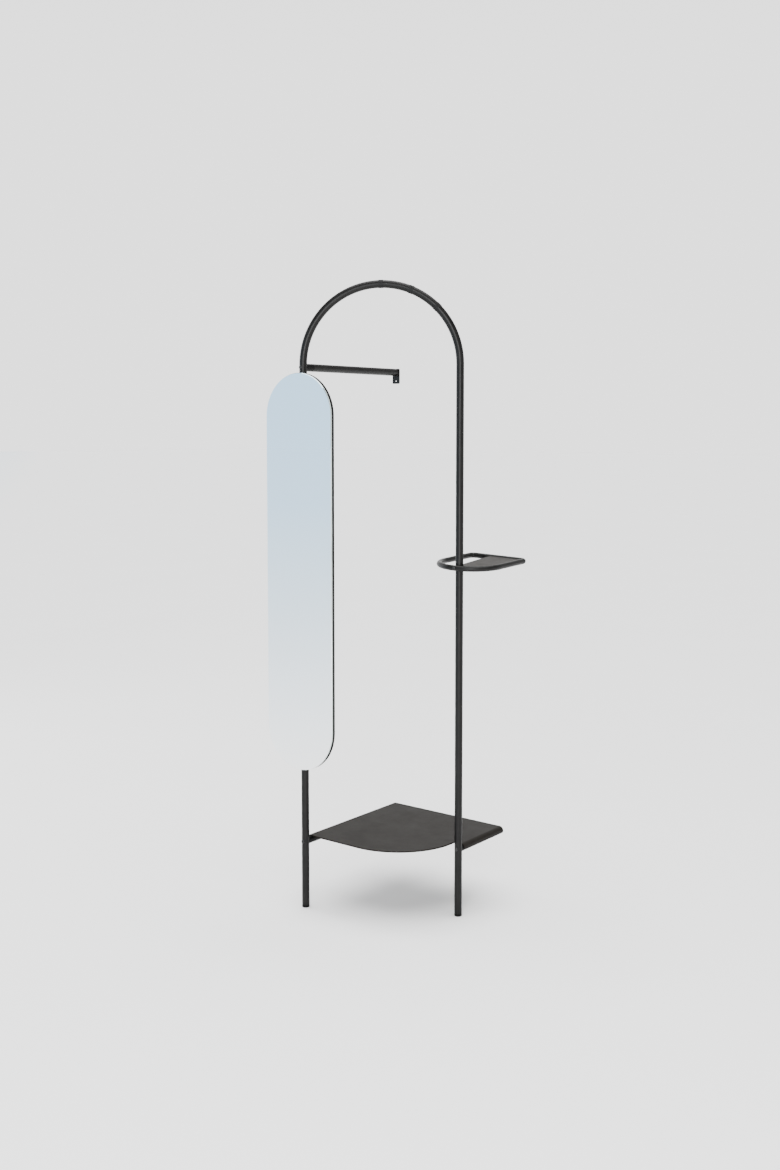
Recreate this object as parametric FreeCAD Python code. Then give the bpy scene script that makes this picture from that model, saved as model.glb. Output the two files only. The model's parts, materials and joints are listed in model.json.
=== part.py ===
import FreeCAD, Part
import math
import os

from FreeCAD import Placement, Rotation, Vector

# Valet stand. Millimetres, +Z up, +X along the wall, +Y towards the wall.
# It is drawn with the left leg's axis at x = 0, y = 0 and moved at the end,
# so that the origin is the middle of its footprint on the floor.

# Overall
HEIGHT = 1800.0
WALL_Y = 432.0
RIGHT_LEG = Vector(390.0, 214.0, 0.0)
LEFT_LEG = Vector(0.0, 0.0, 0.0)

# Frame tube
TUBE_R = 11.0
TUBE_WALL = 1.5
BORE_R = TUBE_R - TUBE_WALL
SPAN = RIGHT_LEG.Length
ARCH_R = SPAN / 2
SPRING_Z = HEIGHT - TUBE_R - ARCH_R
LEG_JOINT_Z = 1006.0
SPIGOT_HALF = 45.0

# Fits and drillings
FIT = 0.1
SADDLE_GAP = 0.02
SHANK_GAP = 0.01
PAST = 2.0
DRILL_REACH = 20.0
SADDLE_REACH = 40.0

# Feet
FOOT_H = 9.0
FOOT_ROUND = 1.6
FOOT_STEM = 22.0
SEAM_H = 0.4
SEAM_IN = 0.8

# Arm and shelf rails, which run back to the wall
ARM_Z = 1560.0
RAIL_Z = 196.0
CONNECTOR_L = 26.0
CONNECTOR_STEM = 26.0
CONNECTOR_R = 10.8
RAIL_PLUG_L = 5.0
RAIL_PLUG_ROUND = 3.5
PLUG_STEM = 18.0

# Wall plate at the end of the arm
PLATE_W = 26.0
PLATE_H = 46.0
PLATE_T = 3.0
PLATE_ROUND = 4.0
PLATE_HOLE_UP = 8.0
WALL_HOLE_R = 2.5

# Frame bolts, one at each connector
BOLT_R = 2.8
BOLT_L = 58.0
BOLT_HEAD_R = 5.2
BOLT_HEAD_H = 4.2
BOLT_SUNK = 1.4
HEAD_DOME = 0.55
SOCKET_ACROSS = 3.0
SOCKET_DEPTH = 2.0

# Grub screws that hold the leg spigots
GRUB_R = 2.5
GRUB_L = 4.4
GRUB_STEP = 25.0
GRUB_SUNK = 0.1

# Shelf sheet, rolled over both rails
SHEET_T = 1.5
SHEET_GAP = 0.05
SHEET_FRONT_Y = 20.5
SHEET_SIDE_X = 368.0
SHEET_FRONT_R = 190.0
SHEET_BEHIND_LEG = 2.0
SHEET_BACK_Y = WALL_Y - 2.0
SHEET_LIP = 2.7
LIP_START_X = 13.0
ROLL_WRAP = 115.0
SHEET_TOP_Z = RAIL_Z + TUBE_R + SHEET_GAP + SHEET_T

# Mirror
MIRROR_W = 242.0
MIRROR_LOW = 411.0
MIRROR_HIGH = 1544.0
GLASS_T = 4.0
GLASS_BEVEL = 0.9
BACKING_T = 11.0
BACKING_BEVEL = 1.0
SWIVEL_GAP = 0.3
GROOVE_R = TUBE_R + SWIVEL_GAP
GROOVE_DEPTH = 3.0
BACKING_Y = GROOVE_DEPTH - GROOVE_R
GLASS_Y = BACKING_Y - BACKING_T

# Straps that hold the mirror on the left leg and let it turn
STRAP_ZS = {"upper": 1330.0, "lower": 625.0}
STRAP_H = 24.0
STRAP_T = 2.0
LINER_T = 1.0
LINER_SHORT = 1.0
FLANGE_X = 34.0
FLANGE_ROUND = 5.0
STRAP_SCREW_X = 24.0
STRAP_SCREW_R = 2.0
STRAP_SCREW_L = 10.0
STRAP_SCREW_GAP = 0.05
STRAP_HEAD_R = 3.8
STRAP_HEAD_H = 2.4
STOP_HEAD_R = 4.5
STOP_HEAD_H = 5.0
STOP_SUNK = 1.0
STOP_L = 9.0

# Ring tray: a loop of thin tube round the right leg, with a plate in its right part
TRAY_TUBE_R = 8.0
TRAY_TUBE_WALL = 1.5
TRAY_R = 92.0
TRAY_X = 382.0
TRAY_Z = 1005.0
TRAY_CORNER_R = 14.0
TRAY_BACK_Y = WALL_Y - TRAY_TUBE_R
TRAY_FRONT_Y = RIGHT_LEG.y - TUBE_R - TRAY_TUBE_R
TRAY_SLOPE = 2.5
TRAY_DROOP = 2.0
TRAY_PLATE_T = 2.0
TRAY_PLATE_TOP = 4.0
TRAY_PLATE_INSET = 7.8
TRAY_EDGE_FRONT_X = 385.0
TRAY_EDGE_BACK_X = 357.0
TRAY_LEG_CLEAR = 2.0
TRAY_HOLE_X = 334.0
TRAY_BOLT_R = 2.5
TRAY_BOLT_L = 31.0
TRAY_HEAD_R = 4.6
TRAY_HEAD_H = 3.6
TRAY_BOLT_SUNK = 0.8

# Hanger stops on the arch, given by their angle from the top towards the right leg
STOP_ANGLES = {"top": 0.0, "middle": 22.5, "side": 45.0}
STOP_RING_L = 12.0
STOP_GROOVE_L = 2.0
STOP_PROUD = 0.8
STOP_GROOVE_PROUD = 0.25
STOP_GAP = 0.02

X_AXIS = Vector(1, 0, 0)
Y_AXIS = Vector(0, 1, 0)
Z_AXIS = Vector(0, 0, 1)
HOOP_DIR = Vector(RIGHT_LEG).normalize()
HOOP_NORMAL = HOOP_DIR.cross(Z_AXIS)
ARCH_CENTRE = RIGHT_LEG * 0.5 + Vector(0, 0, SPRING_Z)


def rod(start, end, radius):
    """A solid round bar from one point to another."""
    run = end - start
    return Part.makeCylinder(radius, run.Length, start, run)


def tube(start, end, radius, wall):
    """A straight round tube with open ends."""
    return rod(start, end, radius).cut(rod(start, end, radius - wall))


def bend(start, heading, centre, axis, degrees, radius):
    """A round bar that turns from start about an axis through centre."""
    disc = Part.Face(Part.Wire(Part.makeCircle(radius, start, heading)))
    return disc.revolve(centre, axis, degrees)


def prism(edges, lift):
    """A closed outline of edges, raised along lift."""
    return Part.Face(Part.Wire(edges)).extrude(lift)


def polygon(points, lift):
    """A closed outline of straight sides, raised along lift."""
    return Part.Face(Part.makePolygon(points + points[:1])).extrude(lift)


def joined(pieces):
    """One solid made of pieces that touch."""
    return pieces[0].fuse(pieces[1:]).removeSplitter()


def edges_along(shape, direction):
    """The straight edges of a shape that run along a direction."""
    found = []
    for edge in shape.Edges:
        if not isinstance(edge.Curve, Part.Line):
            continue
        if edge.Curve.Direction.cross(direction).Length < 1e-6:
            found.append(edge)
    return found


def rims(shape, radius):
    """The round edges of a shape that have a radius."""
    found = []
    for edge in shape.Edges:
        if isinstance(edge.Curve, Part.Circle) and abs(edge.Curve.Radius - radius) < 1e-6:
            found.append(edge)
    return found


def socket(depth, across):
    """A hexagonal key recess that opens at z = 0 and goes up."""
    corners = []
    for side in range(6):
        angle = math.radians(60 * side)
        reach = across / math.sqrt(3)
        corners.append(Vector(reach * math.cos(angle), reach * math.sin(angle), 0))
    return polygon(corners, Z_AXIS * depth)


def button_screw(head_r, head_h, shank_r, length, across=SOCKET_ACROSS):
    """A screw on +Z: its domed head ends at z = 0, where the shank starts."""
    head = Part.makeCylinder(head_r, head_h, Vector(0, 0, -head_h))
    outer_rim = [edge for edge in rims(head, head_r) if edge.CenterOfMass.z < -head_h / 2]
    head = head.makeFillet(head_h * HEAD_DOME, outer_rim)
    shank = Part.makeCylinder(shank_r, length)
    recess = socket(SOCKET_DEPTH, across)
    recess.translate(Vector(0, 0, -head_h))
    return joined([head, shank]).cut(recess)


def turned(shape, direction, point):
    """A shape made on +Z, set at a point and turned to a direction."""
    shape = shape.copy()
    shape.Placement = Placement(point, Rotation(Z_AXIS, direction))
    return shape


def leg_point(leg, z):
    """The point of a leg's axis at a height."""
    return Vector(leg.x, leg.y, z)


def drilling(middle, radius):
    """A drilling from front to back, right through a tube that is centred on a point."""
    return rod(middle - Y_AXIS * DRILL_REACH, middle + Y_AXIS * DRILL_REACH, radius)


def leg_bore(leg, z, radius):
    """The drilling for a bolt, right through a leg."""
    return drilling(leg_point(leg, z), radius)


def leg_outside(leg, z, gap=SADDLE_GAP):
    """The room that a leg takes around a height, to cut a piece that stands against it."""
    return Part.makeCylinder(TUBE_R + gap, 2 * SADDLE_REACH, leg_point(leg, z - SADDLE_REACH))


def grub_places():
    """The mouths of the four grub screws, at the back of the legs."""
    places = []
    for leg in (LEFT_LEG, RIGHT_LEG):
        for step in (-GRUB_STEP, GRUB_STEP):
            places.append(leg_point(leg, LEG_JOINT_Z + step) + Y_AXIS * (TUBE_R - GRUB_SUNK))
    return places


def grub_bores(radius, length):
    """The drillings for the grub screws."""
    bores = [rod(mouth + Y_AXIS * PAST, mouth - Y_AXIS * length, radius) for mouth in grub_places()]
    return bores[0].fuse(bores[1:])


def upper_hoop():
    """The upper legs and the arch, bent from one tube."""
    def bar(radius):
        left = rod(leg_point(LEFT_LEG, LEG_JOINT_Z), leg_point(LEFT_LEG, SPRING_Z), radius)
        right = rod(leg_point(RIGHT_LEG, LEG_JOINT_Z), leg_point(RIGHT_LEG, SPRING_Z), radius)
        arch = bend(leg_point(LEFT_LEG, SPRING_Z), Z_AXIS, ARCH_CENTRE, HOOP_NORMAL, -180, radius)
        return joined([left, arch, right])
    hoop = bar(TUBE_R).cut(bar(BORE_R))
    hoop = hoop.cut(leg_bore(LEFT_LEG, ARM_Z, BOLT_R + FIT))
    return hoop.cut(grub_bores(GRUB_R + FIT, GRUB_L))


def lower_leg(leg):
    """A straight lower leg with the drillings for its shelf rail and grub screw."""
    shape = tube(leg_point(leg, FOOT_H), leg_point(leg, LEG_JOINT_Z), TUBE_R, TUBE_WALL)
    shape = shape.cut(leg_bore(leg, RAIL_Z, BOLT_R + FIT))
    return shape.cut(grub_bores(GRUB_R + FIT, GRUB_L))


def left_lower_leg():
    """The left lower leg, with the hole for the screw that carries the mirror."""
    seat = stop_screw_seat()
    return lower_leg(LEFT_LEG).cut(rod(seat + Y_AXIS * PAST, seat - Y_AXIS * TUBE_R, STRAP_SCREW_R + FIT))


def right_lower_leg():
    """The right lower leg, with the hole for the tray's bolt."""
    return lower_leg(RIGHT_LEG).cut(tray_bolt_bore())


def spigot(leg):
    """The bar inside a leg that joins its two tubes."""
    low = leg_point(leg, LEG_JOINT_Z - SPIGOT_HALF)
    high = leg_point(leg, LEG_JOINT_Z + SPIGOT_HALF)
    shape = rod(low, high, BORE_R - FIT)
    shape = shape.cut(grub_bores(GRUB_R + FIT, GRUB_L + FIT))
    return shape.cut(tray_bolt_bore())


def grub_screws():
    """Four identical grub screws."""
    screws = []
    for mouth in grub_places():
        screw = Part.makeCylinder(GRUB_R, GRUB_L)
        screw = screw.cut(socket(SOCKET_DEPTH, GRUB_R))
        screws.append(turned(screw, -Y_AXIS, mouth))
    return Part.makeCompound(screws)


def foot_glide(leg):
    """A plastic foot: a pad as wide as the leg, with a stem that plugs into it."""
    pad = rod(leg, leg_point(leg, FOOT_H - SEAM_H), TUBE_R)
    lower_rim = [edge for edge in rims(pad, TUBE_R) if edge.CenterOfMass.z < FOOT_H / 2]
    pad = pad.makeFillet(FOOT_ROUND, lower_rim)
    seam = rod(leg_point(leg, FOOT_H - SEAM_H), leg_point(leg, FOOT_H), TUBE_R - SEAM_IN)
    stem = rod(leg_point(leg, FOOT_H), leg_point(leg, FOOT_H + FOOT_STEM), BORE_R - FIT)
    return joined([pad, seam, stem])


def rail_start(leg, z):
    """The point where a rail's tube starts, behind its leg."""
    return leg_point(leg, z) + Y_AXIS * (TUBE_R + CONNECTOR_L)


def rail(leg, z, end_y):
    """A tube from behind a leg to the wall."""
    start = rail_start(leg, z)
    return tube(start, Vector(start.x, end_y, z), TUBE_R, TUBE_WALL)


def connector(leg, z):
    """A saddle between a leg and a rail, with a stem that plugs into the rail."""
    start = rail_start(leg, z)
    body = rod(leg_point(leg, z), start, CONNECTOR_R)
    stem = rod(start, start + Y_AXIS * CONNECTOR_STEM, BORE_R - FIT)
    shape = joined([body, stem]).cut(leg_outside(leg, z))
    return shape.cut(rod(leg_point(leg, z), start + Y_AXIS * CONNECTOR_STEM, BOLT_R + FIT))


def frame_bolts():
    """Three identical bolts, from the front of a leg into a connector's stem."""
    bolts = []
    for leg, z in ((LEFT_LEG, ARM_Z), (LEFT_LEG, RAIL_Z), (RIGHT_LEG, RAIL_Z)):
        screw = button_screw(BOLT_HEAD_R, BOLT_HEAD_H, BOLT_R, BOLT_L)
        seat = leg_point(leg, z) - Y_AXIS * (TUBE_R - BOLT_SUNK)
        around = leg_outside(leg, z).cut(leg_bore(leg, z, BOLT_R + SHANK_GAP))
        bolts.append(turned(screw, Y_AXIS, seat).cut(around))
    return Part.makeCompound(bolts)


def rail_plug(leg):
    """A plastic plug with a rounded face, in the wall end of a shelf rail."""
    face_y = WALL_Y - RAIL_PLUG_L
    start = Vector(leg.x, face_y, RAIL_Z)
    end = start + Y_AXIS * RAIL_PLUG_L
    head = rod(start, end, TUBE_R)
    outer_rim = [edge for edge in rims(head, TUBE_R) if edge.CenterOfMass.y > face_y + RAIL_PLUG_L / 2]
    head = head.makeFillet(RAIL_PLUG_ROUND, outer_rim)
    return joined([head, rod(start - Y_AXIS * PLUG_STEM, start, BORE_R - FIT)])


def wall_plate():
    """The arm's end plate, with one screw hole below the tube."""
    top = ARM_Z + TUBE_R
    plate = Part.makeBox(PLATE_W, PLATE_T, PLATE_H, Vector(-PLATE_W / 2, WALL_Y - PLATE_T, top - PLATE_H))
    plate = plate.makeFillet(PLATE_ROUND, edges_along(plate, Y_AXIS))
    return plate.cut(drilling(Vector(0, WALL_Y, top - PLATE_H + PLATE_HOLE_UP), WALL_HOLE_R))


def sheet_outline(inset):
    """The shelf sheet's front and right edge, moved inwards by inset."""
    side_x = SHEET_SIDE_X - inset
    front_y = SHEET_FRONT_Y + inset
    arc_x = SHEET_SIDE_X - SHEET_FRONT_R
    arc_y = SHEET_FRONT_Y + SHEET_FRONT_R
    reach = (SHEET_FRONT_R - inset) * math.sqrt(0.5)
    left = Vector(0, front_y, 0)
    arc_start = Vector(arc_x, front_y, 0)
    arc_middle = Vector(arc_x + reach, arc_y - reach, 0)
    arc_end = Vector(side_x, arc_y, 0)
    back_right = Vector(side_x, SHEET_BACK_Y, 0)
    back_left = Vector(0, SHEET_BACK_Y, 0)
    return [
        Part.makeLine(left, arc_start),
        Part.Arc(arc_start, arc_middle, arc_end).toShape(),
        Part.makeLine(arc_end, back_right),
        Part.makeLine(back_right, back_left),
        Part.makeLine(back_left, left),
    ]


def rolled_edge(leg, start_y, side):
    """The edge of the shelf sheet that is rolled over a rail's outer side."""
    inner_r = TUBE_R + SHEET_GAP
    middle = Vector(leg.x, start_y, RAIL_Z)
    section = Part.makeLine(middle + Z_AXIS * inner_r, middle + Z_AXIS * (inner_r + SHEET_T))
    strip = section.revolve(middle, Y_AXIS, side * ROLL_WRAP)
    return strip.extrude(Y_AXIS * (SHEET_BACK_Y - start_y))


def shelf_sheet():
    """The shelf: flat, with a lip at its front and both sides rolled over the rails."""
    drop = Vector(0, 0, SHEET_TOP_Z - SHEET_T)
    flat = prism(sheet_outline(0), Z_AXIS * SHEET_T)
    lip = prism(sheet_outline(0), Z_AXIS * -SHEET_LIP)
    lip = lip.cut(prism(sheet_outline(SHEET_T), Z_AXIS * -SHEET_LIP))
    wing_y = RIGHT_LEG.y + TUBE_R + SHEET_BEHIND_LEG
    keep = Part.makeBox(SHEET_SIDE_X - LIP_START_X, wing_y, SHEET_LIP, Vector(LIP_START_X, 0, -SHEET_LIP))
    flat.translate(drop)
    lip = lip.common(keep)
    lip.translate(drop)
    wing = Part.makeBox(
        RIGHT_LEG.x - SHEET_SIDE_X, SHEET_BACK_Y - wing_y, SHEET_T,
        Vector(SHEET_SIDE_X, wing_y, SHEET_TOP_Z - SHEET_T))
    left_roll = rolled_edge(LEFT_LEG, SHEET_FRONT_Y, -1)
    right_roll = rolled_edge(RIGHT_LEG, wing_y, 1)
    return joined([flat, lip, wing, left_roll, right_roll])


def capsule(width, low, high, face_y, thickness):
    """An upright plate with round ends, from face_y back by thickness."""
    radius = width / 2
    low_right = Vector(radius, face_y, low + radius)
    high_right = Vector(radius, face_y, high - radius)
    high_left = Vector(-radius, face_y, high - radius)
    low_left = Vector(-radius, face_y, low + radius)
    edges = [
        Part.makeLine(low_right, high_right),
        Part.Arc(high_right, Vector(0, face_y, high), high_left).toShape(),
        Part.makeLine(high_left, low_left),
        Part.Arc(low_left, Vector(0, face_y, low), low_right).toShape(),
    ]
    return prism(edges, Y_AXIS * thickness)


def face_edges(shape, y):
    """The edges of a shape that lie in the plane at y."""
    return [edge for edge in shape.Edges if edge.BoundBox.YMax - y < 1e-3 and y - edge.BoundBox.YMin < 1e-3]


def mirror_glass():
    """The mirror, with a fine bevel round its face."""
    face_y = GLASS_Y - GLASS_T
    glass = capsule(MIRROR_W, MIRROR_LOW, MIRROR_HIGH, face_y, GLASS_T)
    return glass.makeChamfer(GLASS_BEVEL, face_edges(glass, face_y))


def mirror_backing():
    """The board behind the glass, with a groove for the leg and holes for the strap screws."""
    board = capsule(MIRROR_W, MIRROR_LOW, MIRROR_HIGH, GLASS_Y, BACKING_T)
    board = board.makeChamfer(BACKING_BEVEL, face_edges(board, BACKING_Y))
    board = board.cut(rod(leg_point(LEFT_LEG, MIRROR_LOW), leg_point(LEFT_LEG, MIRROR_HIGH), GROOVE_R))
    for seat in strap_screw_seats():
        board = board.cut(rod(seat + Y_AXIS, seat - Y_AXIS * STRAP_SCREW_L, STRAP_SCREW_R + STRAP_SCREW_GAP))
    return board


def strap_screw_seats():
    """The points on the strap flanges where the screw heads sit."""
    seats = []
    for z in STRAP_ZS.values():
        for side in (-1, 1):
            seats.append(Vector(side * STRAP_SCREW_X, BACKING_Y + STRAP_T, z))
    return seats


def saddle(radius, z, height):
    """A solid round the back of the left leg, flat against the mirror's backing."""
    low = Vector(0, 0, z - height / 2)
    round_back = Part.makeCylinder(radius, height, low, Z_AXIS, 180)
    block = Part.makeBox(2 * radius, -BACKING_Y, height, low + Vector(-radius, BACKING_Y, 0))
    return joined([round_back, block])


def mirror_strap(z):
    """A metal strap round the back of the leg, with a flange on each side."""
    inner_r = GROOVE_R + LINER_T
    corner = Vector(-FLANGE_X, BACKING_Y, z - STRAP_H / 2)
    flanges = Part.makeBox(2 * FLANGE_X, STRAP_T, STRAP_H, corner)
    flanges = flanges.makeFillet(FLANGE_ROUND, edges_along(flanges, Y_AXIS))
    strap = joined([saddle(inner_r + STRAP_T, z, STRAP_H), flanges])
    strap = strap.cut(saddle(inner_r, z, STRAP_H))
    for seat in strap_screw_seats():
        strap = strap.cut(rod(seat + Y_AXIS, seat - Y_AXIS * STRAP_SCREW_L, STRAP_SCREW_R + FIT))
    return strap


def strap_liner(z):
    """The rubber strip between a strap and the leg."""
    height = STRAP_H - 2 * LINER_SHORT
    return saddle(GROOVE_R + LINER_T, z, height).cut(saddle(GROOVE_R, z, height))


def strap_screws():
    """Four identical screws, from the strap flanges into the backing."""
    screws = []
    for seat in strap_screw_seats():
        screw = button_screw(STRAP_HEAD_R, STRAP_HEAD_H, STRAP_SCREW_R, STRAP_SCREW_L)
        screws.append(turned(screw, -Y_AXIS, seat))
    return Part.makeCompound(screws)


def stop_screw_seat():
    """The point at the back of the left leg, under the lower strap, for the stop screw."""
    below = STRAP_ZS["lower"] - STRAP_H / 2 - SWIVEL_GAP - STOP_HEAD_R
    return leg_point(LEFT_LEG, below) + Y_AXIS * TUBE_R


def mirror_stop_screw():
    """The screw in the leg that the lower strap rests on."""
    seat = stop_screw_seat()
    screw = button_screw(STOP_HEAD_R, STOP_HEAD_H, STRAP_SCREW_R, STOP_L)
    screw = turned(screw, -Y_AXIS, seat - Y_AXIS * STOP_SUNK)
    around = leg_outside(LEFT_LEG, seat.z).cut(leg_bore(LEFT_LEG, seat.z, STRAP_SCREW_R + SHANK_GAP))
    return screw.cut(around)


def tray_placement():
    """The tray's place: a little lower at its front and at its right."""
    pivot = Vector(RIGHT_LEG.x, (TRAY_FRONT_Y + TRAY_BACK_Y) / 2, 0)
    tilt = Rotation(X_AXIS, TRAY_SLOPE).multiply(Rotation(Y_AXIS, TRAY_DROOP))
    return Placement(Vector(0, 0, TRAY_Z), tilt, pivot)


def tray_point(x, y):
    """A point of the tray's middle plane, in the stand's frame."""
    return tray_placement().multVec(Vector(x, y, 0))


def tray_bar(radius):
    """The tray's loop as a round bar in its own level plane."""
    left = TRAY_X - TRAY_R
    right = TRAY_X + TRAY_R
    turn_y = TRAY_FRONT_Y + TRAY_R
    corner_y = TRAY_BACK_Y - TRAY_CORNER_R
    corner_left = Vector(left + TRAY_CORNER_R, corner_y, 0)
    corner_right = Vector(right - TRAY_CORNER_R, corner_y, 0)
    return joined([
        bend(Vector(left, turn_y, 0), Y_AXIS, Vector(TRAY_X, turn_y, 0), Z_AXIS, 180, radius),
        rod(Vector(right, turn_y, 0), Vector(right, corner_y, 0), radius),
        bend(Vector(right, corner_y, 0), Y_AXIS, corner_right, Z_AXIS, 90, radius),
        rod(Vector(corner_right.x, TRAY_BACK_Y, 0), Vector(corner_left.x, TRAY_BACK_Y, 0), radius),
        bend(Vector(corner_left.x, TRAY_BACK_Y, 0), X_AXIS, corner_left, Z_AXIS, 90, radius),
        rod(Vector(left, corner_y, 0), Vector(left, turn_y, 0), radius),
    ])


def tray_bolt_seat():
    """The point on the tray's front, before the right leg, where its bolt's head sits."""
    middle = tray_point(RIGHT_LEG.x, TRAY_FRONT_Y)
    return Vector(RIGHT_LEG.x, TRAY_FRONT_Y - TRAY_TUBE_R + TRAY_BOLT_SUNK, middle.z)


def tray_bolt_bore():
    """The drilling for the tray's bolt, level, from the tray's front into the leg."""
    seat = tray_bolt_seat()
    return rod(seat - Y_AXIS * PAST, seat + Y_AXIS * (TRAY_BOLT_L + FIT), TRAY_BOLT_R + FIT)


def tray_wall_hole():
    """The drilling through the tray's back tube for a wall screw."""
    return drilling(tray_point(TRAY_HOLE_X, TRAY_BACK_Y), WALL_HOLE_R)


def tray_ring():
    """The tray's loop of tube, clear of the leg that it stands against."""
    ring = tray_bar(TRAY_TUBE_R).cut(tray_bar(TRAY_TUBE_R - TRAY_TUBE_WALL))
    ring.Placement = tray_placement()
    return ring.cut(tray_bolt_bore()).cut(tray_wall_hole()).cut(leg_outside(RIGHT_LEG, TRAY_Z))


def tray_plate():
    """The plate in the right part of the tray, cut back round the leg."""
    reach = TRAY_R - TRAY_PLATE_INSET
    turn_y = TRAY_FRONT_Y + TRAY_R
    back_y = TRAY_BACK_Y - TRAY_PLATE_INSET
    round_r = TRAY_CORNER_R - TRAY_PLATE_INSET
    low = TRAY_PLATE_TOP - TRAY_PLATE_T
    disc = Part.makeCylinder(reach, TRAY_PLATE_T, Vector(TRAY_X, turn_y, low))
    block = Part.makeBox(2 * reach, back_y - turn_y, TRAY_PLATE_T, Vector(TRAY_X - reach, turn_y, low))
    corner = [
        edge for edge in edges_along(block, Z_AXIS)
        if edge.CenterOfMass.x > TRAY_X and edge.CenterOfMass.y > turn_y + round_r
    ]
    block = block.makeFillet(round_r, corner)
    open_part = polygon([
        Vector(TRAY_X - TRAY_R, TRAY_FRONT_Y, low),
        Vector(TRAY_EDGE_FRONT_X, TRAY_FRONT_Y, low),
        Vector(TRAY_EDGE_BACK_X, TRAY_BACK_Y, low),
        Vector(TRAY_X - TRAY_R, TRAY_BACK_Y, low),
    ], Z_AXIS * TRAY_PLATE_T)
    plate = joined([disc, block]).cut(open_part)
    plate.Placement = tray_placement()
    return plate.cut(leg_outside(RIGHT_LEG, TRAY_Z, TRAY_LEG_CLEAR))


def tray_bolt():
    """The bolt that holds the tray's front on the right leg and locks its spigot."""
    screw = button_screw(TRAY_HEAD_R, TRAY_HEAD_H, TRAY_BOLT_R, TRAY_BOLT_L)
    screw = turned(screw, Y_AXIS, tray_bolt_seat())
    around = tray_bar(TRAY_TUBE_R + SADDLE_GAP)
    around.Placement = tray_placement()
    return screw.cut(around.cut(drilling(tray_bolt_seat(), TRAY_BOLT_R + SHANK_GAP)))


def arch_band(angle, length, proud):
    """A thin band round the arch, centred at an angle from its top."""
    turn = math.degrees(length / ARCH_R)
    first = math.radians(angle - turn / 2)
    outward = HOOP_DIR * math.sin(first) + Z_AXIS * math.cos(first)
    start = ARCH_CENTRE + outward * ARCH_R
    heading = outward.cross(HOOP_NORMAL)
    outer = bend(start, heading, ARCH_CENTRE, HOOP_NORMAL, -turn, TUBE_R + proud)
    inner = bend(start, heading, ARCH_CENTRE, HOOP_NORMAL, -turn, TUBE_R + STOP_GAP)
    return outer.cut(inner)


def hanger_stop(angle):
    """A hanger stop: a close-fitting band with a groove round its middle."""
    side_l = (STOP_RING_L - STOP_GROOVE_L) / 2
    step = math.degrees((STOP_GROOVE_L + side_l) / 2 / ARCH_R)
    return joined([
        arch_band(angle - step, side_l, STOP_PROUD),
        arch_band(angle, STOP_GROOVE_L, STOP_GROOVE_PROUD),
        arch_band(angle + step, side_l, STOP_PROUD),
    ])


def stand():
    """Every piece of the stand, by name."""
    pieces = {
        "upper_hoop": upper_hoop(),
        "left_lower_leg": left_lower_leg(),
        "right_lower_leg": right_lower_leg(),
        "left_leg_spigot": spigot(LEFT_LEG),
        "right_leg_spigot": spigot(RIGHT_LEG),
        "spigot_grub_screws": grub_screws(),
        "left_foot_glide": foot_glide(LEFT_LEG),
        "right_foot_glide": foot_glide(RIGHT_LEG),
        "wall_arm": rail(LEFT_LEG, ARM_Z, WALL_Y - PLATE_T),
        "arm_connector": connector(LEFT_LEG, ARM_Z),
        "arm_wall_plate": wall_plate(),
        "left_shelf_rail": rail(LEFT_LEG, RAIL_Z, WALL_Y - RAIL_PLUG_L),
        "right_shelf_rail": rail(RIGHT_LEG, RAIL_Z, WALL_Y - RAIL_PLUG_L),
        "left_rail_connector": connector(LEFT_LEG, RAIL_Z),
        "right_rail_connector": connector(RIGHT_LEG, RAIL_Z),
        "left_rail_end_plug": rail_plug(LEFT_LEG),
        "right_rail_end_plug": rail_plug(RIGHT_LEG),
        "frame_bolts": frame_bolts(),
        "shelf_sheet": shelf_sheet(),
        "mirror_glass": mirror_glass(),
        "mirror_backing": mirror_backing(),
        "mirror_strap_screws": strap_screws(),
        "mirror_stop_screw": mirror_stop_screw(),
        "tray_ring": tray_ring(),
        "tray_plate": tray_plate(),
        "tray_bolt": tray_bolt(),
    }
    for name, z in STRAP_ZS.items():
        pieces[f"{name}_mirror_strap"] = mirror_strap(z)
        pieces[f"{name}_strap_liner"] = strap_liner(z)
    for name, angle in STOP_ANGLES.items():
        pieces[f"{name}_hanger_stop"] = hanger_stop(angle)
    return pieces


def export(pieces):
    """Centre the stand on the origin and write each piece as its own file."""
    os.makedirs("parts", exist_ok=True)
    box = Part.makeCompound(list(pieces.values())).optimalBoundingBox(False, False)
    shift = Vector(-box.Center.x, -box.Center.y, 0)
    for name, shape in pieces.items():
        shape.translate(shift)
        shape.exportStep(f"parts/{name}.step")
    print("moved by", [round(value, 4) for value in shift], "size", box.XLength, box.YLength, box.ZLength)


export(stand())
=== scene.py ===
import json
import math

import bmesh
import bpy
from mathutils import Matrix, Vector

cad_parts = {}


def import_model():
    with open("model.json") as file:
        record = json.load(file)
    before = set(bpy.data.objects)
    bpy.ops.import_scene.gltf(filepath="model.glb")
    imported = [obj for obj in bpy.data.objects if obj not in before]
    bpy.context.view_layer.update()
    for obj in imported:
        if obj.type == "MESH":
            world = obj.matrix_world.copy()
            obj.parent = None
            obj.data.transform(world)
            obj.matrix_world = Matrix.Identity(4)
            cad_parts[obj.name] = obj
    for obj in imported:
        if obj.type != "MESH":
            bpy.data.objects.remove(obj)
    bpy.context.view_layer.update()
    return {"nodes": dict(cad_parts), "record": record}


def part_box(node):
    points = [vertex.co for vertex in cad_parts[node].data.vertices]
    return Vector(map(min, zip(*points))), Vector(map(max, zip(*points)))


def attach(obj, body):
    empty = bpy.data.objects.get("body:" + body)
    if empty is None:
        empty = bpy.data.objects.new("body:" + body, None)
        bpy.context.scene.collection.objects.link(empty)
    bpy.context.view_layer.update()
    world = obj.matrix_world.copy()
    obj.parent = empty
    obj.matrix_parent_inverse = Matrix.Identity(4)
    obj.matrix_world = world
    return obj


# The camera, in metres and degrees, as fitted to the stand
CAMERA_AT = (2.26508, -2.95537, 1.39293)
CAMERA_AZIMUTH = 37.82
CAMERA_DOWN = 4.37
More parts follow.
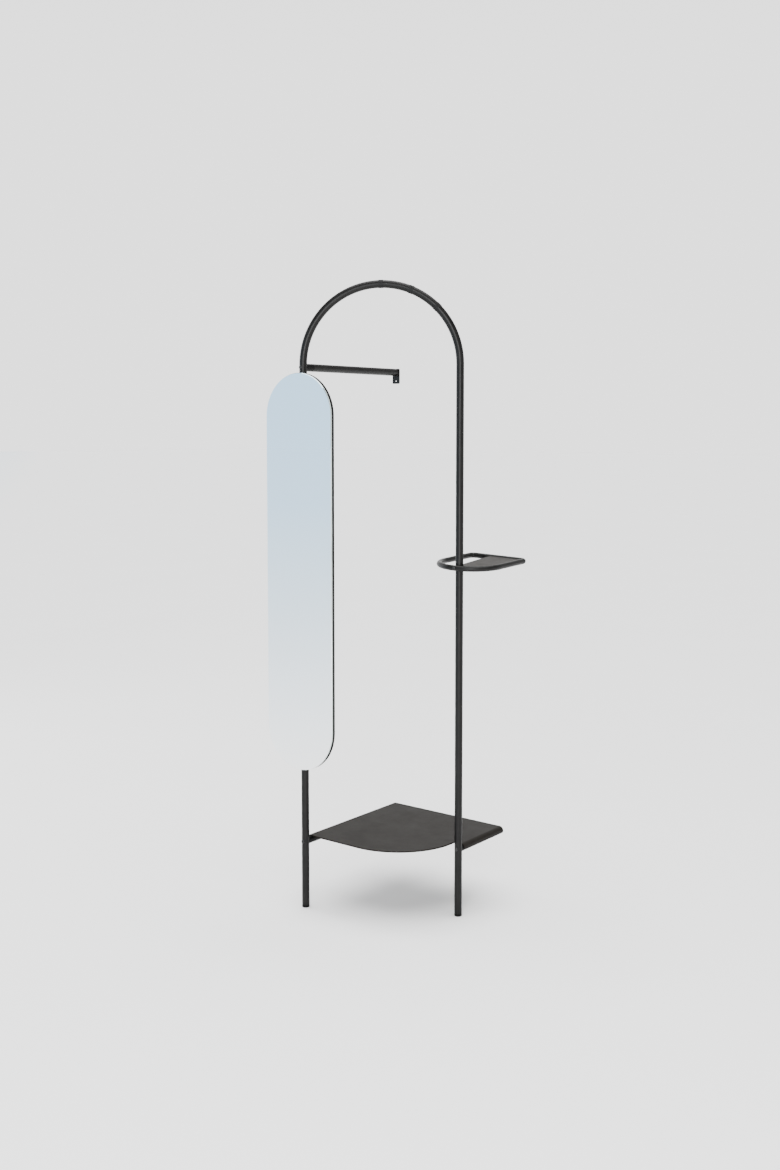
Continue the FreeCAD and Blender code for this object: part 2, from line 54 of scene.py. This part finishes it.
CAMERA_LENS = 39.81
CAMERA_SENSOR = 36.0
CAMERA_SHIFT_Y = -0.0507
CAMERA_CLIP = (0.05, 100.0)

# The left leg's foot in the row frame, and the frame tube's radius, in metres
LEFT_LEG = Vector((-0.1804744, -0.20435, 0))
TUBE_R = 0.011

# The tray's own level frame: its pivot in the row frame, its tilt in degrees, and its loop's inner side
TRAY_PIVOT = Vector((0.2095256, 0.10515, 1.005))
TRAY_SLOPE = 2.5
TRAY_DROOP = 2.0
TRAY_MIDDLE_X = -0.008
TRAY_TURN_Y = -0.0225
TRAY_INNER_R = 0.0845
TRAY_BACK_Y = 0.1069

# Weld beads: how far apart the ripples are, how much they swell, and how the ends taper
BEAD_SIDES = 10
BEAD_RIPPLE = 0.0022
BEAD_SWELL = 0.14
BEAD_END_RINGS = 3
BEAD_END_SIZE = 0.25

# The bead round the lower half of the arm's end, with its angles in degrees
ARM_BEAD_R = 0.0014
ARM_BEAD_FROM = 188
ARM_BEAD_TO = 352
ARM_BEAD_STEP = 3.0
ARM_BEAD_OFF_TUBE = 0.0002
ARM_BEAD_OFF_PLATE = 0.0003

# The short beads under the tray's plate: three on the round side by angle, two on the straight back
TRAY_BEAD_R = 0.0012
TRAY_BEAD_Z = 0.0012
TRAY_BEAD_ANGLES = (-62, -28, 4)
TRAY_BEAD_HALF_ANGLE = 6
TRAY_BEAD_STEP = 0.7
TRAY_BACK_BEADS_X = (0.0, 0.052)
TRAY_BACK_BEAD_STEP = 0.0005
TRAY_BACK_BEAD_POINTS = 34

# The studio: the floor's half width, and where its white ends and its blue begins, in metres
FLOOR_REACH = 60.0
FLOOR_WHITE_TO = 1.65
FLOOR_BLUE_FROM = 20.0
MIRROR_LOOKS = (-0.61, -0.79, 0.0)
BEHIND_STAND = (-0.61, 0.79, 0.0)
WHITE = (1.0, 1.0, 1.0, 1.0)
PALE_BLUE = (0.66, 0.83, 0.98, 1.0)
FLOOR_BLUE = (0.58, 0.73, 0.86, 1.0)

# The sky: its strength low down and overhead, its share in front of the stand, and the spans, as parts
# of a direction, over which it darkens upwards, its blue fades upwards, and each side fades in
SKY_LOW = 2.25
SKY_HIGH = 0.5
FRONT_SHARE = 0.4
SKY_DARKENS = (0.25, 0.75)
BLUE_FADES = (0.10, 0.45)
MIRROR_SIDE = (0.2, 0.8)
BEHIND_SIDE = (0.35, 0.85)

# The lights, in metres, degrees and watts, but for the sun's strength
SUN_STRENGTH = 6.5
SUN_SPREAD = 70.0
LIGHTS_AIM = (0, 0, 1.0)
AREA_LIGHTS = {
    "front": {"at": (3.0, -4.6, 2.0), "size": (1.6, 3.2), "power": 330.0},
    "left": {"at": (-3.6, -0.6, 2.2), "size": (1.2, 2.6), "power": 40.0},
}

# The mirror's colours, with a painted reflection of pale sky, and where its own normal along Y turns from its
# face to its polished edge
PAINTED_SKY_REFLECTION = (0.68, 0.83, 0.93, 1.0)
GLASS_HAZE = ((0.93, 0.945, 0.95, 1.0), (0.95, 0.96, 0.965, 1.0))
GLASS_EDGE = (0.62, 0.70, 0.68, 1.0)
GLASS_FACE_TO_EDGE = (-0.72, -0.60)

# Edge wear: how far the bevelled normal turns from the true one, as a cosine
BEVEL_SAMPLES = 6
NORMAL_FLAT = 0.995
NORMAL_EDGE = 0.90

# How much a finish's specks, dust and rubbed edges show
SPECKS_SHOW = 0.5
DUST_SHOWS = 0.03
RUB_SHOWS = 0.35

# The middle span of smooth noise, and the sockets of the colour mix node
NOISE_MIDDLE = (0.3, 0.7)
MIX_AMOUNT = 0
MIX_A = 6
MIX_B = 7
MIX_RESULT = 2

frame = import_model()


class Shader:
    """A node material, with short calls for the nodes that these finishes are made of."""

    def __init__(self, name):
        self.material = bpy.data.materials.new(name)
        self.material.use_nodes = True
        self.tree = self.material.node_tree
        self.surface = self.tree.nodes["Principled BSDF"]
        self.place = self.tree.nodes.new("ShaderNodeTexCoord").outputs["Object"]

    def node(self, kind, inputs=None, **settings):
        """A new node with its settings and inputs. An input is a value or another node's output."""
        made = self.tree.nodes.new(kind)
        for key, value in settings.items():
            setattr(made, key, value)
        for key, value in (inputs or {}).items():
            self.feed(made.inputs[key], value)
        return made

    def feed(self, socket, value):
        """Links an output to a socket, or sets the socket to a value."""
        if isinstance(value, bpy.types.NodeSocket):
            self.tree.links.new(value, socket)
        else:
            socket.default_value = value

    def noise(self, scale, detail, roughness, stretch=(1, 1, 1)):
        """Smooth noise, from 0 to 1, with its number of waves per metre."""
        spread = self.node("ShaderNodeMapping", {"Vector": self.place, "Scale": stretch})
        made = self.node("ShaderNodeTexNoise", {
            "Vector": spread.outputs["Vector"], "Scale": scale, "Detail": detail, "Roughness": roughness})
        return made.outputs["Fac"]

    def cells(self, scale):
        """The distance to the nearest of scattered points."""
        made = self.node("ShaderNodeTexVoronoi", {"Vector": self.place, "Scale": scale})
        return made.outputs["Distance"]

    def span(self, value, low, high, to_low=0.0, to_high=1.0):
        """A value's span low to high, mapped to another span and clamped."""
        made = self.node("ShaderNodeMapRange", {
            "Value": value, "From Min": low, "From Max": high, "To Min": to_low, "To Max": to_high})
        return made.outputs["Result"]

    def follow(self, noise, low, high):
        """A value from low to high that follows smooth noise."""
        return self.span(noise, *NOISE_MIDDLE, low, high)

    def math(self, operation, a, b):
        """One operation on two values."""
        made = self.node("ShaderNodeMath", operation=operation)
        self.feed(made.inputs[0], a)
        self.feed(made.inputs[1], b)
        return made.outputs["Value"]

    def mix(self, amount, a, b):
        """A colour between a and b."""
        made = self.node("ShaderNodeMix", data_type="RGBA")
        self.feed(made.inputs[MIX_AMOUNT], amount)
        self.feed(made.inputs[MIX_A], a)
        self.feed(made.inputs[MIX_B], b)
        return made.outputs[MIX_RESULT]

    def axis(self, name):
        """One coordinate of the point, in metres in its body's frame."""
        return self.node("ShaderNodeSeparateXYZ", {"Vector": self.place}).outputs[name]

    def edges(self, radius):
        """1 on convex edges and 0 on flat faces, from a bevelled normal against the true one."""
        soft = self.node("ShaderNodeBevel", {"Radius": radius}, samples=BEVEL_SAMPLES).outputs["Normal"]
        true = self.node("ShaderNodeNewGeometry").outputs["Normal"]
        dot = self.node("ShaderNodeVectorMath", operation="DOT_PRODUCT")
        self.feed(dot.inputs[0], soft)
        self.feed(dot.inputs[1], true)
        return self.span(dot.outputs["Value"], NORMAL_FLAT, NORMAL_EDGE)

    def rub(self, radius, scale, detail, low, high):
        """Broken wear along convex edges, of a width and a number of patches per metre."""
        patches = self.span(self.noise(scale, detail, roughness=0.6), low, high)
        return self.math("MULTIPLY", self.edges(radius), patches)

    def bump(self, height, strength, distance, onto=None):
        """A bumped normal from a height, on top of another bump if one is given."""
        inputs = {"Height": height, "Strength": strength, "Distance": distance}
        if onto is not None:
            inputs["Normal"] = onto
        return self.node("ShaderNodeBump", inputs).outputs["Normal"]

    def set(self, **sockets):
        """Sets the surface's sockets by name, with _ for a space."""
        for key, value in sockets.items():
            self.feed(self.surface.inputs[key.replace("_", " ")], value)
        return self.material


def grey(value, warmth=0.0):
    """A near-grey colour in linear light."""
    return (value * (1 + warmth), value, value * (1 - warmth), 1.0)


def powder_coat(name, base, grain, depth, roughness, gloss, warmth, cloudy):
    """Powder coat: fine orange peel, faint dust, and brighter rubbed edges."""
    s = Shader(name)
    peel = s.noise(scale=grain, detail=3.0, roughness=0.55)
    speck = s.noise(scale=grain * 3.1, detail=2.0, roughness=0.5)
    cloud = s.noise(scale=9.0, detail=5.0, roughness=0.6)
    dust = s.span(s.noise(scale=34.0, detail=6.0, roughness=0.7), 0.42, 0.72)
    rub = s.rub(radius=0.0016, scale=160.0, detail=4.0, low=0.35, high=0.7)
    shade = s.mix(cloud, grey(base * (1 - cloudy), warmth), grey(base * (1 + cloudy), warmth))
    shade = s.mix(s.math("MULTIPLY", s.span(speck, 0.56, 0.72), SPECKS_SHOW), shade, grey(base * 1.9, warmth))
    shade = s.mix(s.math("MULTIPLY", dust, DUST_SHOWS), shade, grey(0.12, 0.04))
    shade = s.mix(s.math("MULTIPLY", rub, RUB_SHOWS), shade, grey(base * 2.6 + 0.01, warmth))
    rough = s.follow(cloud, roughness - 0.03, roughness + 0.04)
    rough = s.math("ADD", rough, s.math("MULTIPLY", dust, 0.05))
    rough = s.math("SUBTRACT", rough, s.math("MULTIPLY", rub, 0.12))
    coarse = s.bump(s.noise(scale=60.0, detail=2.0, roughness=0.5), strength=0.15, distance=0.0004)
    normal = s.bump(peel, strength=depth, distance=0.00025, onto=coarse)
    normal = s.bump(speck, strength=depth * 0.6, distance=0.0001, onto=normal)
    return s.set(Base_Color=shade, Roughness=rough, Normal=normal, Metallic=0.0, Specular_IOR_Level=gloss)


def moulded_plastic(name, base, roughness):
    """Moulded plastic: spark-eroded grain, faint flow shading and scuffed edges."""
    s = Shader(name)
    flow = s.noise(scale=40.0, detail=5.0, roughness=0.6, stretch=(1, 1, 0.35))
    scuff = s.rub(radius=0.0011, scale=210.0, detail=4.0, low=0.4, high=0.7)
    shade = s.mix(flow, grey(base * 0.8), grey(base * 1.25))
    shade = s.mix(s.math("MULTIPLY", scuff, RUB_SHOWS), shade, grey(base * 2.4 + 0.008))
    rough = s.follow(flow, roughness - 0.05, roughness + 0.07)
    normal = s.bump(s.cells(2600.0), strength=0.12, distance=0.0001)
    return s.set(Base_Color=shade, Roughness=rough, Normal=normal, Specular_IOR_Level=0.1)


def oxide_screw(name):
    """Black oxide steel: dark blotched metal with a bright rubbed rim."""
    s = Shader(name)
    blotch = s.noise(scale=420.0, detail=5.0, roughness=0.65)
    rub = s.rub(radius=0.0007, scale=600.0, detail=3.0, low=0.35, high=0.65)
    shade = s.mix(blotch, grey(0.016), grey(0.042))
    shade = s.mix(s.math("MULTIPLY", rub, 0.6), shade, grey(0.20))
    rough = s.follow(blotch, 0.30, 0.46)
    normal = s.bump(s.noise(scale=1900.0, detail=3.0, roughness=0.5), strength=0.2, distance=0.00008)
    return s.set(Base_Color=shade, Roughness=rough, Normal=normal, Metallic=0.75)


def black_rubber(name):
    """Black rubber: matt, finely pitted, with a grey bloom."""
    s = Shader(name)
    bloom = s.noise(scale=90.0, detail=5.0, roughness=0.6)
    shade = s.mix(bloom, grey(0.004), grey(0.009))
    rough = s.follow(bloom, 0.5, 0.66)
    normal = s.bump(s.cells(1800.0), strength=0.12, distance=0.0001)
    return s.set(Base_Color=shade, Roughness=rough, Normal=normal, Specular_IOR_Level=0.15)


def mirror_glass(name):
    """Silvered glass: a painted reflection of pale sky that fades downwards, haze, and a green-grey polished
    edge.
    """
    s = Shader(name)
    heights = [vertex.co.z for vertex in frame["nodes"]["mirror_glass"].data.vertices]
    haze = s.noise(scale=14.0, detail=6.0, roughness=0.6, stretch=(1, 1, 0.5))
    own_normal = s.node("ShaderNodeTexCoord").outputs["Normal"]
    facing = s.node("ShaderNodeSeparateXYZ", {"Vector": own_normal}).outputs["Y"]
    silver = s.span(facing, *GLASS_FACE_TO_EDGE, 1.0, 0.0)
    clear = s.mix(haze, *GLASS_HAZE)
    # Painted reflection: pale sky colour at the top of the glass, fading to the clear haze towards the bottom
    shade = s.mix(s.span(s.axis("Z"), min(heights), max(heights)), clear, PAINTED_SKY_REFLECTION)
    shade = s.mix(silver, GLASS_EDGE, shade)
    rough = s.follow(haze, 0.004, 0.016)
    rough = s.math("ADD", rough, s.span(silver, 0.0, 1.0, 0.16, 0.0))
    metal = s.span(silver, 0.0, 1.0, 0.35, 1.0)
    normal = s.bump(s.noise(scale=1.7, detail=1.0, roughness=0.3), strength=0.02, distance=0.0006)
    return s.set(Base_Color=shade, Roughness=rough, Normal=normal, Metallic=metal)


def painted_board(name):
    """Black painted fibreboard: roller stipple, and paler fibres where the edge is rubbed."""
    s = Shader(name)
    stipple = s.noise(scale=700.0, detail=4.0, roughness=0.55)
    cloud = s.noise(scale=11.0, detail=5.0, roughness=0.6)
    rub = s.rub(radius=0.0012, scale=150.0, detail=4.0, low=0.45, high=0.72)
    shade = s.mix(cloud, grey(0.004), grey(0.008))
    shade = s.mix(s.math("MULTIPLY", rub, 0.3), shade, grey(0.03, 0.15))
    rough = s.follow(cloud, 0.5, 0.62)
    normal = s.bump(stipple, strength=0.15, distance=0.0002)
    return s.set(Base_Color=shade, Roughness=rough, Normal=normal, Specular_IOR_Level=0.15)


SHEET_GRAIN = {"grain": 1300.0, "depth": 0.2, "roughness": 0.56, "warmth": 0.3, "cloudy": 0.08}
FINISHES = {
    "painted_tube": powder_coat(
        "tube_coat", base=0.0028, gloss=0.17,
        grain=900.0, depth=0.12, roughness=0.36, warmth=0.06, cloudy=0.18),
    "painted_sheet": powder_coat("sheet_coat", base=0.0042, gloss=0.1, **SHEET_GRAIN),
    "black_plastic": moulded_plastic("black_nylon", base=0.002, roughness=0.42),
    "black_screw": oxide_screw("black_oxide"),
    "mirror_face": mirror_glass("silvered_glass"),
    "backing_board": painted_board("black_board"),
    "rubber": black_rubber("black_rubber"),
}
# Painted light: the sheet coat made lighter on the tray's plate, standing in for the brighter light the plate
# catches
TRAY_PAINTED_LIGHTER = powder_coat("tray_coat_painted_lighter", base=0.0065, gloss=0.17, **SHEET_GRAIN)


def finish_nodes():
    """Gives each CAD node the finish of its material slot, and the tray's plate a lighter copy of the sheet
    coat, painted light for the brighter light it catches.
    """
    slots = {part["node"]: part["material_slot"] for part in frame["record"]["subparts"]}
    for name, node in frame["nodes"].items():
        node.data.materials.clear()
        node.data.materials.append(TRAY_PAINTED_LIGHTER if name == "tray_plate" else FINISHES[slots[name]])


def tray_place(x, y, z=TRAY_BEAD_Z):
    """A point of the tray, given in its own level frame round its pivot, in the row frame."""
    slope = Matrix.Rotation(math.radians(TRAY_SLOPE), 3, "X")
    droop = Matrix.Rotation(math.radians(TRAY_DROOP), 3, "Y")
    return TRAY_PIVOT + slope @ droop @ Vector((x, y, z))


def bead_ring(mesh, path, index, size):
    """One round section of a bead, square to its path."""
    ahead = path[min(index + 1, len(path) - 1)] - path[max(index - 1, 0)]
    side = ahead.orthogonal().normalized()
    up = ahead.normalized().cross(side)
    angles = [math.tau * k / BEAD_SIDES for k in range(BEAD_SIDES)]
    return [mesh.verts.new(path[index] + (side * math.cos(a) + up * math.sin(a)) * size) for a in angles]


def bead_mesh(name, path, radius):
    """A weld bead along a path: its size swells at each ripple, and it closes at both ends."""
    mesh = bmesh.new()
    rings = []
    run = 0.0
    for i, point in enumerate(path):
        if i:
            run += (point - path[i - 1]).length
        end = min(i, len(path) - 1 - i) / BEAD_END_RINGS
        taper = min(1.0, BEAD_END_SIZE + (1 - BEAD_END_SIZE) * end)
        ripple = 1 + BEAD_SWELL * math.sin(math.tau * run / BEAD_RIPPLE)
        rings.append(bead_ring(mesh, path, i, radius * taper * ripple))
    for ring, following in zip(rings, rings[1:]):
        for k in range(BEAD_SIDES):
            after = (k + 1) % BEAD_SIDES
            mesh.faces.new((ring[k], ring[after], following[after], following[k]))
    mesh.faces.new(rings[0][::-1])
    mesh.faces.new(rings[-1])
    bmesh.ops.recalc_face_normals(mesh, faces=mesh.faces)
    for face in mesh.faces:
        face.smooth = True
    data = bpy.data.meshes.new(name)
    mesh.to_mesh(data)
    mesh.free()
    return data


def weld_bead(name, path, radius):
    """A painted weld bead on the frame."""
    data = bead_mesh(name, path, radius)
    data.materials.append(FINISHES["painted_tube"])
    bead = bpy.data.objects.new(name, data)
    bpy.context.scene.collection.objects.link(bead)
    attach(bead, "frame")


def arc_path(centre, radius, start, end, step, place):
    """Points along an arc, in degrees, placed by a function of the two coordinates in its plane."""
    count = max(4, round(abs(end - start) / step))
    angles = [math.radians(start + (end - start) * i / count) for i in range(count + 1)]
    return [place(centre[0] + radius * math.cos(a), centre[1] + radius * math.sin(a)) for a in angles]


def arm_weld():
    """The bead round the lower half of the arm's end, on the wall plate."""
    plate_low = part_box("arm_wall_plate")[0]
    arm_low, arm_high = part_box("wall_arm")
    centre = (LEFT_LEG.x, (arm_low.z + arm_high.z) / 2)
    path = arc_path(
        centre, TUBE_R + ARM_BEAD_OFF_TUBE, ARM_BEAD_FROM, ARM_BEAD_TO, ARM_BEAD_STEP,
        lambda x, z: Vector((x, plate_low.y - ARM_BEAD_OFF_PLATE, z)))
    weld_bead("arm_plate_weld", path, ARM_BEAD_R)


def tray_welds():
    """Short beads under the tray's plate, where it meets the loop."""
    centre = (TRAY_MIDDLE_X, TRAY_TURN_Y)
    paths = [
        arc_path(centre, TRAY_INNER_R, middle - TRAY_BEAD_HALF_ANGLE, middle + TRAY_BEAD_HALF_ANGLE,
                 TRAY_BEAD_STEP, tray_place)
        for middle in TRAY_BEAD_ANGLES
    ]
    for start in TRAY_BACK_BEADS_X:
        steps = range(TRAY_BACK_BEAD_POINTS)
        paths.append([tray_place(start + TRAY_BACK_BEAD_STEP * i, TRAY_BACK_Y) for i in steps])
    for number, path in enumerate(paths, 1):
        weld_bead(f"tray_plate_weld_{number}", path, TRAY_BEAD_R)


def floor_material():
    """A plain pale floor: white round the stand, faintly blue far out where the mirror looks."""
    s = Shader("studio_floor")
    cloud = s.noise(scale=1.6, detail=4.0, roughness=0.5)
    white = s.mix(cloud, grey(0.86), grey(0.89))
    across = s.math("MULTIPLY", s.axis("X"), MIRROR_LOOKS[0])
    ahead = s.math("ADD", across, s.math("MULTIPLY", s.axis("Y"), MIRROR_LOOKS[1]))
    ahead = s.math("MAXIMUM", ahead, 1.0)
    far = s.span(s.math("LOGARITHM", ahead, math.e), math.log(FLOOR_WHITE_TO), math.log(FLOOR_BLUE_FROM))
    return s.set(Base_Color=s.mix(far, white, FLOOR_BLUE), Roughness=0.8, Specular_IOR_Level=0.1)


def studio():
    """A pale floor that runs far out on all sides."""
    mesh = bpy.data.meshes.new("floor")
    corners = [(-FLOOR_REACH, -FLOOR_REACH, 0), (FLOOR_REACH, -FLOOR_REACH, 0),
               (FLOOR_REACH, FLOOR_REACH, 0), (-FLOOR_REACH, FLOOR_REACH, 0)]
    mesh.from_pydata(corners, [], [(0, 1, 2, 3)])
    floor = bpy.data.objects.new("floor", mesh)
    mesh.materials.append(floor_material())
    bpy.context.scene.collection.objects.link(floor)


def world():
    """Soft light from all round: bright behind the stand, and pale blue low down where the mirror looks."""
    made = bpy.data.worlds.new("studio_sky")
    made.use_nodes = True
    bpy.context.scene.world = made
    tree = made.node_tree
    background = tree.nodes["Background"]

    def node(kind, **settings):
        new = tree.nodes.new(kind)
        for key, value in settings.items():
            setattr(new, key, value)
        return new

    def along(direction):
        dot = node("ShaderNodeVectorMath", operation="DOT_PRODUCT")
        tree.links.new(way, dot.inputs[0])
        dot.inputs[1].default_value = direction
        return dot.outputs["Value"]

    def ramp(value, limits, to_low, to_high):
        span = node("ShaderNodeMapRange", interpolation_type="SMOOTHSTEP")
        tree.links.new(value, span.inputs["Value"])
        for key, number in zip(("From Min", "From Max", "To Min", "To Max"), (*limits, to_low, to_high)):
            span.inputs[key].default_value = number
        return span.outputs["Result"]

    def combine(operation, a, b):
        both = node("ShaderNodeMath", operation=operation)
        tree.links.new(a, both.inputs[0])
        tree.links.new(b, both.inputs[1])
        return both.outputs["Value"]

    way = node("ShaderNodeTexCoord").outputs["Generated"]
    height = along((0, 0, 1))
    low_down = ramp(height, BLUE_FADES, 1.0, 0.0)
    in_front = combine("MULTIPLY", ramp(along(MIRROR_LOOKS), MIRROR_SIDE, 0.0, 1.0), low_down)
    tint = node("ShaderNodeMix", data_type="RGBA")
    tree.links.new(in_front, tint.inputs[MIX_AMOUNT])
    tint.inputs[MIX_A].default_value = WHITE
    tint.inputs[MIX_B].default_value = PALE_BLUE
    brightness = ramp(height, SKY_DARKENS, SKY_LOW, SKY_HIGH)
    behind = ramp(along(BEHIND_STAND), BEHIND_SIDE, FRONT_SHARE, 1.0)
    share = combine("MAXIMUM", behind, in_front)
    tree.links.new(tint.outputs[MIX_RESULT], background.inputs["Color"])
    tree.links.new(combine("MULTIPLY", brightness, share), background.inputs["Strength"])


def soft_sun():
    """Soft light from straight above, the same over all the floor."""
    data = bpy.data.lights.new("overhead", "SUN")
    data.energy = SUN_STRENGTH
    data.angle = math.radians(SUN_SPREAD)
    bpy.context.scene.collection.objects.link(bpy.data.objects.new("overhead", data))


def area_light(name, at, size, power):
    """A soft rectangular light, aimed at the middle of the stand."""
    data = bpy.data.lights.new(name, "AREA")
    data.shape = "RECTANGLE"
    data.size, data.size_y = size
    data.energy = power
    lamp = bpy.data.objects.new(name, data)
    lamp.location = at
    lamp.rotation_euler = (Vector(LIGHTS_AIM) - Vector(at)).to_track_quat("-Z", "Y").to_euler()
    bpy.context.scene.collection.objects.link(lamp)


def camera():
    """The camera at the fitted place."""
    data = bpy.data.cameras.new("camera")
    data.lens = CAMERA_LENS
    data.sensor_width = CAMERA_SENSOR
    data.shift_y = CAMERA_SHIFT_Y
    data.clip_start, data.clip_end = CAMERA_CLIP
    made = bpy.data.objects.new("camera", data)
    made.location = CAMERA_AT
    made.rotation_euler = (math.radians(90 - CAMERA_DOWN), 0, math.radians(CAMERA_AZIMUTH))
    bpy.context.scene.collection.objects.link(made)
    bpy.context.scene.camera = made


finish_nodes()
arm_weld()
tray_welds()
studio()
world()
soft_sun()
for light_name, light in AREA_LIGHTS.items():
    area_light(light_name, **light)
camera()
